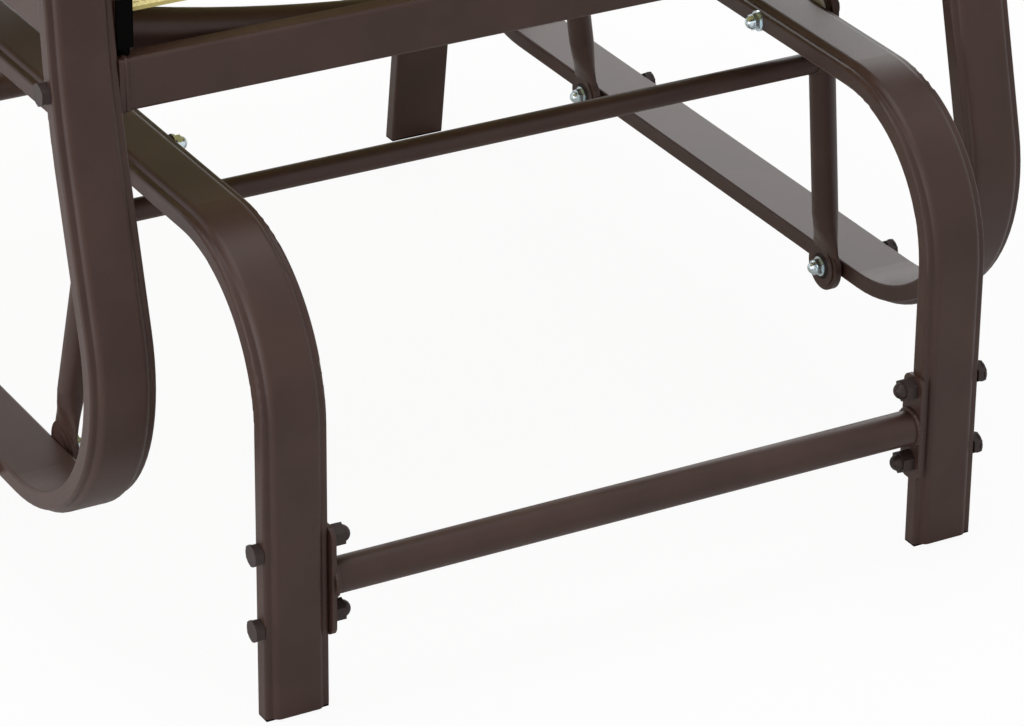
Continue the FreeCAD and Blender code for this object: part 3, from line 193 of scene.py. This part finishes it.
# moulded plastics share one build with their own colours
mouldedPlastics = {
    "brownCap": {
        "dark": (0.025, 0.0145, 0.0135), "light": (0.034, 0.0205, 0.0195), "rough": (0.38, 0.52), "shine": 0.28,
    },
    "blackPlug": {
        "dark": (0.0014, 0.0013, 0.0012), "light": (0.0026, 0.0025, 0.0024), "rough": (0.45, 0.60), "shine": 0.02,
    },
    "brownBush": {
        "dark": (0.017, 0.0105, 0.0095), "light": (0.024, 0.0150, 0.0140), "rough": (0.42, 0.56), "shine": 0.12,
    },
    "naturalNylon": {
        "dark": (0.55, 0.53, 0.46), "light": (0.64, 0.62, 0.55), "rough": (0.35, 0.50), "shine": 0.50,
    },
}
plasticGrain = {"scale": 1100.0, "bump": 0.12, "depth": 0.0001}


def makePlastic(name):
    look = mouldedPlastics[name]
    mat, tree, shader = startMaterial(name)
    grain = objectNoise(tree, plasticGrain["scale"])
    fillShader(tree, shader, {
        "Base Color": twoTone(tree, grain, look["dark"], look["light"]),
        "Roughness": spread(tree, grain, *look["rough"]),
        "Normal": bumpFrom(tree, grain, plasticGrain["bump"], plasticGrain["depth"]),
        "Specular IOR Level": look["shine"],
    })
    return mat


# coated mesh cloth, woven over and under, with painted shade in the gaps between the threads; the weave follows
# the cloth's own UV map, in threads
meshWeave = {
    "warp": (0.90, 0.77, 0.325),
    "weft": (0.82, 0.70, 0.29),
    # painted shade: the gap colour darkens the cloth between the threads, where shade falls
    "gap": (0.56, 0.46, 0.16),
    "gapShadeBand": (0.05, 0.55),    # heights of a thread over which the painted shade of the gap fades
    "driftScale": 9.0,
    "driftDetail": 3.0,
    "driftTints": ((0.92, 0.92, 0.90), (1.0, 1.0, 1.0)),
    "bump": 0.55,
    "depth": 0.0006,
    "rough": (0.66, 0.48),    # in the gaps, on the threads
    "sheen": 0.08,
}


def makeMesh(name, threadsWide, threadsLong):
    look = meshWeave
    mat, tree, shader = startMaterial(name)
    uv = addNode(tree, "ShaderNodeUVMap", uv_map="UVMap")
    place = addNode(tree, "ShaderNodeMapping",
                    {"Vector": uv.outputs["UV"], "Scale": (threadsWide, threadsLong, 1)})
    parts = addNode(tree, "ShaderNodeSeparateXYZ", {"Vector": place.outputs["Vector"]})
    across = reckon(tree, "SINE", reckon(tree, "MULTIPLY", parts.outputs["X"], math.pi))
    along = reckon(tree, "SINE", reckon(tree, "MULTIPLY", parts.outputs["Y"], math.pi))
    # the warp lies over where both waves have the same sign
    warpOver = reckon(tree, "GREATER_THAN", reckon(tree, "MULTIPLY", across, along), 0.0)
    weftOver = reckon(tree, "SUBTRACT", 1.0, warpOver)
    height = reckon(tree, "ADD",
                    reckon(tree, "MULTIPLY", warpOver, reckon(tree, "ABSOLUTE", across)),
                    reckon(tree, "MULTIPLY", weftOver, reckon(tree, "ABSOLUTE", along)))
    thread = mixColours(tree, warpOver, look["weft"], look["warp"])
    # painted shade: the cloth darkens towards the gap colour where a thread dips under another
    cloth = mixColours(tree, spread(tree, height, 0.0, 1.0, look["gapShadeBand"]), look["gap"], thread)
    drift = objectNoise(tree, look["driftScale"], look["driftDetail"])
    tint = twoTone(tree, drift, *look["driftTints"])
    fillShader(tree, shader, {
        "Base Color": mixColours(tree, 1.0, cloth, tint, "MULTIPLY"),
        "Roughness": spread(tree, height, *look["rough"], fullBand),
        "Normal": bumpFrom(tree, height, look["bump"], look["depth"]),
        "Sheen Weight": look["sheen"],
    })
    return mat


# sewing thread of the hems
sewingThread = {
    "dark": (0.42, 0.34, 0.17),
    "light": (0.66, 0.56, 0.32),
    "twistScale": 1800.0,
    "bump": 0.3,
    "depth": 0.0001,
    "rough": 0.7,
}


def makeThread():
    look = sewingThread
    mat, tree, shader = startMaterial("hemThread")
    twist = objectNoise(tree, look["twistScale"])
    fillShader(tree, shader, {
        "Base Color": twoTone(tree, twist, look["dark"], look["light"]),
        "Roughness": look["rough"],
        "Normal": bumpFrom(tree, twist, look["bump"], look["depth"]),
    })
    return mat


coat = makePowderCoat()
finishes = {
    "brown_coat": coat,
    "zinc": makeZinc(),
    "cap_plastic": makePlastic("brownCap"),
    "black_plastic": makePlastic("blackPlug"),
    "nylon": makePlastic("naturalNylon"),
}
for entry in frame["record"]["subparts"]:
    finish = finishes.get(entry["material_slot"])
    if finish is None:
        continue    # the sling, which the cloth below replaces
    mesh = nodes[entry["node"]].data
    mesh.materials.clear()
    mesh.materials.append(finish)

# the bushes in the links are moulded in a dark brown
bushPlastic = makePlastic("brownBush")
for nodeName in ("front_link_bushes", "rear_link_bushes"):
    nodes[nodeName].data.materials[0] = bushPlastic
print("finishes assigned")


# helpers for modelling

creaseAngle = math.radians(40)    # edges sharper than this stay crisp
mergeDistance = 0.000001


def deselectAll():
    if bpy.context.object and bpy.context.object.mode != "OBJECT":
        bpy.ops.object.mode_set(mode="OBJECT")
    bpy.ops.object.select_all(action="DESELECT")


def pick(obj):
    deselectAll()
    obj.select_set(True)
    bpy.context.view_layer.objects.active = obj


def keepActive(name):
    obj = bpy.context.object
    obj.name = name
    obj.data.name = name
    return obj


def addGrid(name, cellsWide, cellsLong):
    # one metre square round the origin, shaped by its maker
    deselectAll()
    bpy.ops.mesh.primitive_grid_add(x_subdivisions=cellsWide, y_subdivisions=cellsLong, size=1.0, calc_uvs=True)
    return keepActive(name)


def thicken(obj, thickness):
    pick(obj)
    wall = obj.modifiers.new("wall", "SOLIDIFY")
    wall.thickness = thickness
    wall.offset = 0.0
    bpy.ops.object.modifier_apply(modifier="wall")
    bpy.ops.object.shade_smooth_by_angle(angle=creaseAngle)


def faceOutwards(obj):
    pick(obj)
    bpy.ops.object.mode_set(mode="EDIT")
    bpy.ops.mesh.select_all(action="SELECT")
    bpy.ops.mesh.remove_doubles(threshold=mergeDistance)
    bpy.ops.mesh.normals_make_consistent(inside=False)
    bpy.ops.object.mode_set(mode="OBJECT")


def smoothOver(obj):
    pick(obj)
    bpy.ops.object.shade_smooth()


def dress(obj, finish, body):
    obj.data.materials.clear()
    obj.data.materials.append(finish)
    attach(obj, body)


# the line of the seat from the front hem to the top hem, in metres, as the tracks run
seatLine = {
    "setback": 0.3918,
    "front": 0.115,
    "inset": 0.002,
    "height": 0.406,
    "level": 0.115,
    "depth": 0.485,
    "drop": 0.040,
    "backLean": math.radians(18.8),
    "backLength": 0.540,
    "seatRadius": 0.300,
    "backRadius": 0.110,
    "lift": 0.007,
    "slack": 1e-9,    # rounding allowed where two runs meet
}


def seatLineCorners():
    line = seatLine
    start = Vector((line["front"] + line["inset"] - line["setback"], line["height"]))
    edge = Vector((line["front"] + line["level"] - line["setback"], line["height"]))
    corner = Vector((line["front"] + line["depth"] - line["setback"], line["height"] - line["drop"]))
    reach = line["backLength"] - line["inset"]
    top = corner + Vector((math.sin(line["backLean"]), math.cos(line["backLean"]))) * reach
    return [start, edge, corner, top], [None, line["seatRadius"], line["backRadius"], None]


def squareTo(way):
    return Vector((-way.y, way.x))


def straightRun(start, end, normal):
    # its length, and a way to ask for the place and the direction square to it at a share of the run
    return (end - start).length, lambda share: (start.lerp(end, share), normal)


def arcRun(centre, radius, startAngle, sweep):
    def at(share):
        angle = startAngle + sweep * share
        way = Vector((math.cos(angle), math.sin(angle)))
        return centre + way * radius, -way if sweep > 0 else way

    return radius * abs(sweep), at


def seatLineAt(count):
    # evenly spaced places on the lifted line, each with the direction square to it
    corners, radii = seatLineCorners()
    lift = seatLine["lift"]
    runs = []
    here = corners[0]
    for index in (1, 2):
        before = (corners[index] - corners[index - 1]).normalized()
        after = (corners[index + 1] - corners[index]).normalized()
        side = 1 if before.x * after.y - before.y * after.x > 0 else -1
        angle = before.angle(after)
        trim = radii[index] * math.tan(angle / 2)
        bendStart = corners[index] - before * trim
        normal = squareTo(before)
        runs.append(straightRun(here + normal * lift, bendStart + normal * lift, normal))
        centre = bendStart + normal * radii[index] * side
        runs.append(arcRun(centre, radii[index] - side * lift, math.atan2(-normal.y * side, -normal.x * side),
                           side * angle))
        here = corners[index] + after * trim
    normal = squareTo((corners[-1] - here).normalized())
    runs.append(straightRun(here + normal * lift, corners[-1] + normal * lift, normal))
    total = sum(length for length, at in runs)
    spots = []
    for step in range(count):
        want = total * step / (count - 1)
        for length, at in runs:
            if want <= length + seatLine["slack"] or at is runs[-1][1]:
                break
            want -= length
        spots.append(at(min(want / length, 1.0)))
    return spots, total


# the sling: one stretched cloth that dips a little between the tracks
sling = {
    "halfWidth": 0.2717,
    "thickness": 0.0012,
    "across": 72,
    "along": 180,
    "seatDip": 0.006,
    "backDip": 0.004,
    "hemFlat": 0.10,    # share of the length at each end over which the dip fades out
    "thread": 0.0021,
}


def makeSling():
    spots, length = seatLineAt(sling["along"] + 1)
    cloth = addGrid("slingCloth", sling["across"], sling["along"])
    for vert in cloth.data.vertices:
        share = vert.co.y + 0.5
        spot, normal = spots[min(sling["along"], round(share * sling["along"]))]
        side = vert.co.x * 2
        ease = min(1.0, share / sling["hemFlat"], (1 - share) / sling["hemFlat"])
        ease = ease * ease * (3 - 2 * ease)
        dip = sling["seatDip"] if share < 0.5 else sling["backDip"]
        fall = dip * ease * (1 - side * side)
        vert.co = Vector((side * sling["halfWidth"], spot.x - normal.x * fall, spot.y - normal.y * fall))
    thicken(cloth, sling["thickness"])
    weave = makeMesh("slingWeave", round(2 * sling["halfWidth"] / sling["thread"]),
                     round(length / sling["thread"]))
    dress(cloth, weave, "seat")
    return cloth, length, spots


slingCloth, slingLength, slingSpots = makeSling()
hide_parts("sling")
print("sling cut to", round(2 * sling["halfWidth"], 4), "by", round(slingLength, 4))


# turned hems at the front and the top: a second layer under the cloth, sewn with two rows
hem = {
    "width": 0.024,
    "thickness": 0.0011,
    "gap": 0.0001,
    "puff": 0.00015,
    "halfWidth": 0.2670,
    "cells": (96, 6),
    "rows": (0.006, 0.019),
    "stitch": 0.0042,
    "pitch": 0.0054,
    "threadSize": 0.00045,
    "threadSpread": 1.5,    # a stitch is pressed wider than it is high
    "threadSit": 0.35,    # share of the thread's size that its middle stands above the cloth
    "stitchFaces": (8, 6),
}


def hemPlace(end, way):
    # the hem's edge, the direction square to the cloth, and the one towards the middle of the cloth
    spot, normal = slingSpots[end]
    return spot, normal, Vector((normal.y, -normal.x)) * way


def onSeat(x, flat):
    return Vector((x, flat.x, flat.y))


def makeHem(name, spot, normal, inwards):
    strip = addGrid(name, *hem["cells"])
    under = sling["thickness"] / 2 + hem["gap"] + hem["thickness"] / 2
    for vert in strip.data.vertices:
        along = vert.co.y + 0.5
        puff = hem["puff"] * math.sin(along * math.pi)
        flat = spot + inwards * (hem["width"] * along) - normal * (under + puff)
        vert.co = onSeat(vert.co.x * 2 * hem["halfWidth"], flat)
    thicken(strip, hem["thickness"])
    weave = makeMesh(name + "Weave", round(2 * hem["halfWidth"] / sling["thread"]),
                     round(hem["width"] / sling["thread"]))
    dress(strip, weave, "seat")
    faceOutwards(strip)
    return strip


hemThread = makeThread()


def makeStitches(name, spot, normal, inwards):
    segments, rings = hem["stitchFaces"]
    deselectAll()
    bpy.ops.mesh.primitive_uv_sphere_add(segments=segments, ring_count=rings, radius=1.0)
    seam = keepActive(name)
    seam.scale = (hem["stitch"] / 2, hem["threadSize"] * hem["threadSpread"], hem["threadSize"])
    pick(seam)
    bpy.ops.object.transform_apply(location=True, rotation=True, scale=True)
    # one row of stitches, then a second copy of the row
    count = int(2 * hem["halfWidth"] / hem["pitch"])
    line = seam.modifiers.new("line", "ARRAY")
    line.use_relative_offset = False
    line.use_constant_offset = True
    line.constant_offset_displace = (hem["pitch"], 0, 0)
    line.count = count
    bpy.ops.object.modifier_apply(modifier="line")
    single = [vert.co.copy() for vert in seam.data.vertices]
    pick(seam)
    bpy.ops.object.mode_set(mode="EDIT")
    bpy.ops.mesh.select_all(action="SELECT")
    bpy.ops.mesh.duplicate()
    bpy.ops.object.mode_set(mode="OBJECT")
    lift = sling["thickness"] / 2 + hem["threadSize"] * hem["threadSit"]
    for index, vert in enumerate(seam.data.vertices):
        source = single[index % len(single)]
        back = hem["rows"][index // len(single)]
        flat = spot + inwards * (back + source.y) + normal * (lift + source.z)
        vert.co = onSeat(source.x - (count - 1) * hem["pitch"] / 2, flat)
    faceOutwards(seam)
    smoothOver(seam)
    dress(seam, hemThread, "seat")
    return seam


for hemName, end, way in (("frontHem", 0, 1), ("topHem", -1, -1)):
    makeHem(hemName, *hemPlace(end, way))
    makeStitches(hemName + "Stitches", *hemPlace(end, way))
print("hems sewn")


# weld beads, rippled rings where a tube ends on a plate or on another tube
bead = {
    "ripple": 0.14,
    "ripplePitch": 0.0028,
    "fewestRipples": 6,
    "step": 0.0009,
    "fewestSteps": 48,
    "around": 8,
    "ringTube": 0.25,    # of the ring that each bead starts from, which is 1 in radius
}


def makeBead(name, body, pathAt, length, beadSize):
    # pathAt gives the place at a share of the way round, the direction away from the tube and the tube's axis
    steps = max(bead["fewestSteps"], int(length / bead["step"]))
    ripples = max(bead["fewestRipples"], round(length / bead["ripplePitch"]))
    deselectAll()
    bpy.ops.mesh.primitive_torus_add(major_segments=steps, minor_segments=bead["around"], major_radius=1.0,
                                     minor_radius=bead["ringTube"])
    ring = keepActive(name)
    for vert in ring.data.vertices:
        share = (math.atan2(vert.co.y, vert.co.x) / (2 * math.pi)) % 1.0
        out = (math.hypot(vert.co.x, vert.co.y) - 1.0) / bead["ringTube"]
        up = vert.co.z / bead["ringTube"]
        place, outward, axis = pathAt(share)
        size = beadSize * (1 + bead["ripple"] * math.sin(2 * math.pi * ripples * share))
        vert.co = place + outward * (out * size) + axis * (up * size)
    faceOutwards(ring)
    smoothOver(ring)
    dress(ring, coat, body)


def ringPath(centre, radius, side):
    axis = Vector((-side, 0, 0))

    def pathAt(share):
        angle = share * 2 * math.pi
        outward = Vector((0, math.cos(angle), math.sin(angle)))
        return centre + outward * radius, outward, axis

    return pathAt


def boxPath(centre, halfDeep, halfTall, radius, side):
    # a rounded rectangle in the plane square to X: a side, a corner, a side and so on
    axis = Vector((-side, 0, 0))
    flatDeep, flatTall = halfDeep - radius, halfTall - radius
    quarter = math.pi * radius / 2
    lengths = [2 * flatTall, quarter, 2 * flatDeep, quarter] * 2
    total = sum(lengths)
    turns = [(1, -1), (1, 1), (1, 1), (-1, 1), (-1, 1), (-1, -1), (-1, -1), (1, -1)]

    def pathAt(share):
        want = share * total
        index = 0
        while want > lengths[index] and index < len(lengths) - 1:
            want -= lengths[index]
            index += 1
        face = (index // 2) * math.pi / 2
        corner = Vector((turns[index][0] * flatDeep, turns[index][1] * flatTall))
        if index % 2 == 0:
            outward = Vector((math.cos(face), math.sin(face)))
            flat = corner + outward * radius + squareTo(outward) * want
        else:
            angle = face + want / radius
            outward = Vector((math.cos(angle), math.sin(angle)))
            flat = corner + outward * radius
        return centre + onSeat(0, flat), onSeat(0, outward), axis

    return pathAt, total


def outlinePath(points, flatten, axis):
    # the points of a tube's end, flattened to order their outer rim, give a closed path
    rim = [points[index] for index in convex_hull_2d([flatten(point) for point in points])]
    centre = sum(rim, Vector()) / len(rim)
    edges = list(zip(rim, rim[1:] + rim[:1]))
    total = sum((end - start).length for start, end in edges)

    def pathAt(share):
        want = share * total
        for start, end in edges:
            length = (end - start).length
            if want <= length:
                break
            want -= length
        place = start.lerp(end, min(want / length, 1.0))
        return place, (place - centre).normalized(), axis

    return pathAt, total


def middle(nodeName):
    low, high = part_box(nodeName)
    return (Vector(low) + Vector(high)) / 2


def nodePoints(nodeName):
    obj = nodes[nodeName]
    return [obj.matrix_world @ vert.co for vert in obj.data.vertices]


# in the welds below, stand and widen are shares of the bead's size: off the plate, and out from the tube
sides = ((1, "Right"), (-1, "Left"))

stretcherWeld = {"plateFace": 0.202, "radius": 0.011, "size": 0.0018, "stand": 0.35, "widen": 0.1}
for nodeName, weldName in (("front_stretcher", "frontStretcherWeld"), ("rear_stretcher", "rearStretcherWeld")):
    weld = stretcherWeld
    centre = middle(nodeName)
    for side, sideName in sides:
        spot = Vector((side * (weld["plateFace"] - weld["size"] * weld["stand"]), centre.y, centre.z))
        path = ringPath(spot, weld["radius"] + weld["size"] * weld["widen"], side)
        makeBead(weldName + sideName, "base", path, 2 * math.pi * weld["radius"], weld["size"])

crossRailWeld = {
    "plateFace": 0.275, "halfDeep": 0.007, "halfTall": 0.01625, "radius": 0.0025, "height": 0.369,
    "size": 0.0014, "stand": 0.4,
}
for nodeName, weldName in (("front_cross_rail", "frontRailWeld"), ("rear_cross_rail", "rearRailWeld")):
    weld = crossRailWeld
    centre = middle(nodeName)
    for side, sideName in sides:
        spot = Vector((side * (weld["plateFace"] - weld["size"] * weld["stand"]), centre.y, weld["height"]))
        path, length = boxPath(spot, weld["halfDeep"], weld["halfTall"], weld["radius"], side)
        makeBead(weldName + sideName, "seat", path, length, weld["size"])

# spreaders and top bar, whose rims are read from the tubes themselves
spreaderWeld = {"rim": 0.0001, "size": 0.0013, "stand": 0.4}
for nodeName, weldName in (("front_spreader", "frontSpreaderWeld"), ("rear_spreader", "rearSpreaderWeld"),
                           ("back_spreader", "backSpreaderWeld"), ("top_bar", "topBarWeld")):
    weld = spreaderWeld
    points = nodePoints(nodeName)
    reach = max(point.x for point in points)
    for side, sideName in sides:
        axis = Vector((-side, 0, 0))
        off = axis * weld["size"] * weld["stand"]
        rim = [point + off for point in points if side * point.x > reach - weld["rim"]]
        path, length = outlinePath(rim, lambda point: point.yz, axis)
        makeBead(weldName + sideName, "seat", path, length, weld["size"])

bearerWeld = {"size": 0.0013, "stand": 0.4}
for nodeName, weldName in (("seat_bearer_right", "bearerWeldRight"), ("seat_bearer_left", "bearerWeldLeft")):
    weld = bearerWeld
    centre = middle(nodeName)
    for way, endName in ((1, "Front"), (-1, "Rear")):
        axis = Vector((0, way, 0))
        off = axis * weld["size"] * weld["stand"]
        rim = [point + off for point in nodePoints(nodeName) if way * (centre.y - point.y) > 0]
        path, length = outlinePath(rim, lambda point: point.xz, axis)
        makeBead(weldName + endName, "seat", path, length, weld["size"])

# the crossbar's ends are saddles on the leaning links
crossbarWeld = {
    "linkRadius": 0.00875, "barRadius": 0.0071, "linkX": 0.25596, "spread": 0.1198,
    "swing": math.radians(4.874), "size": 0.0014, "stand": 0.3, "widen": 0.2,
}


def saddlePath(centre, side):
    weld = crossbarWeld
    down = Vector((0, math.sin(weld["swing"]), -math.cos(weld["swing"])))
    across = Vector((0, math.cos(weld["swing"]), math.sin(weld["swing"])))
    radius = weld["barRadius"] + weld["size"] * weld["widen"]

    def pathAt(share):
        angle = share * 2 * math.pi
        sideways, below = radius * math.cos(angle), radius * math.sin(angle)
        depth = math.sqrt(weld["linkRadius"] ** 2 - sideways ** 2)
        x = side * (weld["linkX"] + weld["spread"] * below - depth - weld["size"] * weld["stand"])
        outward = across * math.cos(angle) + down * math.sin(angle)
        return Vector((x, centre.y, centre.z)) + outward * radius, outward, Vector((-side, 0, 0))

    return pathAt


for side, sideName in sides:
    makeBead("crossbarWeld" + sideName, "front_swing", saddlePath(middle("front_crossbar"), side),
             2 * math.pi * crossbarWeld["barRadius"], crossbarWeld["size"])
print("welds laid")


# a pale floor that takes the chair's shadow near it and fades to plain white further out
white = (1, 1, 1)
paleFloor = {
    "size": 16.0,
    "colour": (0.86, 0.86, 0.86),
    "rough": 0.9,
    "shine": 0.1,
    "fade": (1.2, 3.5),
    "nearShare": 0.93,
}


def mixShaders(tree, share, first, second, output):
    mix = addNode(tree, "ShaderNodeMixShader", {"Fac": share, 1: first, 2: second})
    tree.links.new(mix.outputs["Shader"], output.inputs["Surface"])


def makeFloor():
    look = paleFloor
    mat, tree, shader = startMaterial("paleFloor")
    fillShader(tree, shader, {
        "Base Color": look["colour"], "Roughness": look["rough"], "Specular IOR Level": look["shine"],
    })
    glow = addNode(tree, "ShaderNodeEmission", {"Color": white, "Strength": 1.0})
    path = addNode(tree, "ShaderNodeLightPath")
    coords = addNode(tree, "ShaderNodeTexCoord")
    away = addNode(tree, "ShaderNodeVectorMath", {"Vector": coords.outputs["Object"]}, operation="LENGTH")
    whiteness = spread(tree, away.outputs["Value"], look["nearShare"], 1.0, look["fade"])
    share = reckon(tree, "MULTIPLY", path.outputs["Is Camera Ray"], whiteness)
    mixShaders(tree, share, shader.outputs["BSDF"], glow.outputs["Emission"], tree.nodes["Material Output"])
    return mat


deselectAll()
bpy.ops.mesh.primitive_plane_add(size=paleFloor["size"])
floor = keepActive("studioFloor")
floor.data.materials.append(makeFloor())

# the world lights evenly, and shows as white to the camera, in gloss and through glass
studio = {"fill": 0.55, "shown": 1.0}


def makeWorld():
    world = bpy.data.worlds.new("studioWorld")
    bpy.context.scene.world = world
    world.use_nodes = True
    tree = world.node_tree
    tree.nodes.clear()
    path = addNode(tree, "ShaderNodeLightPath")
    seen = reckon(tree, "MAXIMUM", path.outputs["Is Camera Ray"], path.outputs["Is Glossy Ray"])
    seen = reckon(tree, "MAXIMUM", seen, path.outputs["Is Transmission Ray"])
    fill = addNode(tree, "ShaderNodeBackground", {"Color": white, "Strength": studio["fill"]})
    shown = addNode(tree, "ShaderNodeBackground", {"Color": white, "Strength": studio["shown"]})
    output = addNode(tree, "ShaderNodeOutputWorld")
    mixShaders(tree, seen, fill.outputs["Background"], shown.outputs["Background"], output)


makeWorld()

softLamps = {
    "overhead": {"place": (-0.4, 0.3, 2.6), "aim": (0, 0, 0.3), "size": 2.4, "power": 38},
    "leftFront": {"place": (-2.4, -1.6, 1.7), "aim": (0, 0, 0.3), "size": 1.6, "power": 8},
    "leftPanel": {"place": (-1.8, -0.5, 0.45), "aim": (0, -0.3, 0.25), "size": 0.9, "power": 8},
    "behind": {"place": (2.1, 2.3, 1.5), "aim": (0.2, 0, 0.2), "size": 1.8, "power": 22},
}
for lampName, settings in softLamps.items():
    lamp = bpy.data.lights.new(lampName, "AREA")
    lamp.energy = settings["power"]
    lamp.size = settings["size"]
    lampObject = bpy.data.objects.new(lampName, lamp)
    lampObject.visible_camera = False
    bpy.context.scene.collection.objects.link(lampObject)
    lampObject.location = settings["place"]
    way = Vector(settings["aim"]) - Vector(settings["place"])
    lampObject.rotation_euler = way.to_track_quat("-Z", "Y").to_euler()

# the photograph's view
view = {
    "place": (-1.319, -2.5948, 1.470),
    "azimuth": math.radians(29.264),
    "elevation": math.radians(26.741),
    "roll": math.radians(0.587),
    "focalPixels": 4860.0,
    "imageWidth": 1024,
    "sensorWidth": 36.0,
    "clipEnd": 50.0,
}


def makeCamera():
    camera = bpy.data.cameras.new("photoCamera")
    camera.sensor_fit = "HORIZONTAL"
    camera.sensor_width = view["sensorWidth"]
    camera.lens = view["focalPixels"] * view["sensorWidth"] / view["imageWidth"]
    camera.clip_end = view["clipEnd"]
    cameraObject = bpy.data.objects.new("photoCamera", camera)
    bpy.context.scene.collection.objects.link(cameraObject)
    azimuth, elevation, roll = view["azimuth"], view["elevation"], view["roll"]
    ahead = Vector((math.sin(azimuth) * math.cos(elevation), math.cos(azimuth) * math.cos(elevation),
                    -math.sin(elevation)))
    level = Vector((math.cos(azimuth), -math.sin(azimuth), 0))
    above = level.cross(ahead)
    right = level * math.cos(roll) + above * math.sin(roll)
    up = above * math.cos(roll) - level * math.sin(roll)
    turn = Matrix((right, up, -ahead)).transposed()
    cameraObject.matrix_world = Matrix.Translation(Vector(view["place"])) @ turn.to_4x4()
    bpy.context.scene.camera = cameraObject


makeCamera()
bpy.context.scene.view_settings.view_transform = "Standard"
print("studio set")
